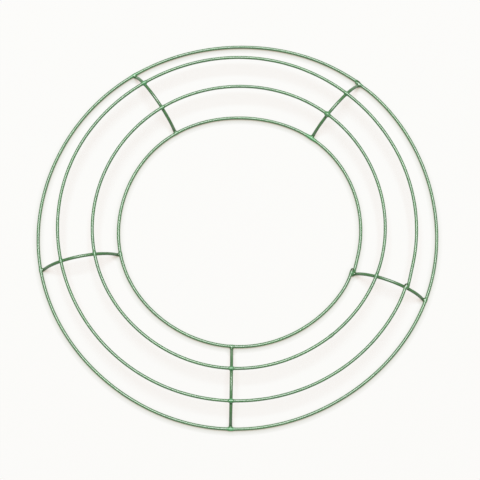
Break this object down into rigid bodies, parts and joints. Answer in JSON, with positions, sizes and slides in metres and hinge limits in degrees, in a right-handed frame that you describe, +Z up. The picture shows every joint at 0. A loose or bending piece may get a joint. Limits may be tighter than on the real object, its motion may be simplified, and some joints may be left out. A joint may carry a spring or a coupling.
{
  "type": "raised wreath frame",
  "caption": "Round raised floral wreath frame: concentric wire rings on arched cross ribs, welded and coated green.",
  "frame": {"origin": "centre of the rings, on the surface that the outer and inner rings lie on", "axes": "+Z up through the rings, away from the surface; -Y towards the front rib; +X to the right"},
  "size_m": [0.3048, 0.3048, 0.0205],
  "materials": {
    "coated_wire": "semi-gloss green coating over steel wire",
    "coated_weld": "semi-gloss green coating pooled over a weld"
  },
  "bodies": {
    "root": {"outer_ring": "coated_wire", "second_ring": "coated_wire", "third_ring": "coated_wire", "inner_ring": "coated_wire", "rib_front": "coated_wire", "rib_right": "coated_wire", "rib_back_right": "coated_wire", "rib_back_left": "coated_wire", "rib_left": "coated_wire", "weld_outer_ring_to_rib_front": "coated_weld", "weld_outer_ring_to_rib_right": "coated_weld", "weld_outer_ring_to_rib_back_right": "coated_weld", "weld_outer_ring_to_rib_back_left": "coated_weld", "weld_outer_ring_to_rib_left": "coated_weld", "weld_second_ring_to_rib_front": "coated_weld", "weld_second_ring_to_rib_right": "coated_weld", "weld_second_ring_to_rib_back_right": "coated_weld", "weld_second_ring_to_rib_back_left": "coated_weld", "weld_second_ring_to_rib_left": "coated_weld", "weld_third_ring_to_rib_front": "coated_weld", "weld_third_ring_to_rib_right": "coated_weld", "weld_third_ring_to_rib_back_right": "coated_weld", "weld_third_ring_to_rib_back_left": "coated_weld", "weld_third_ring_to_rib_left": "coated_weld", "weld_inner_ring_to_rib_front": "coated_weld", "weld_inner_ring_to_rib_right": "coated_weld", "weld_inner_ring_to_rib_back_right": "coated_weld", "weld_inner_ring_to_rib_back_left": "coated_weld", "weld_inner_ring_to_rib_left": "coated_weld", "weld_outer_ring_closing": "coated_weld", "weld_second_ring_closing": "coated_weld", "weld_third_ring_closing": "coated_weld", "weld_inner_ring_closing": "coated_weld"}
  },
  "joints": []
}
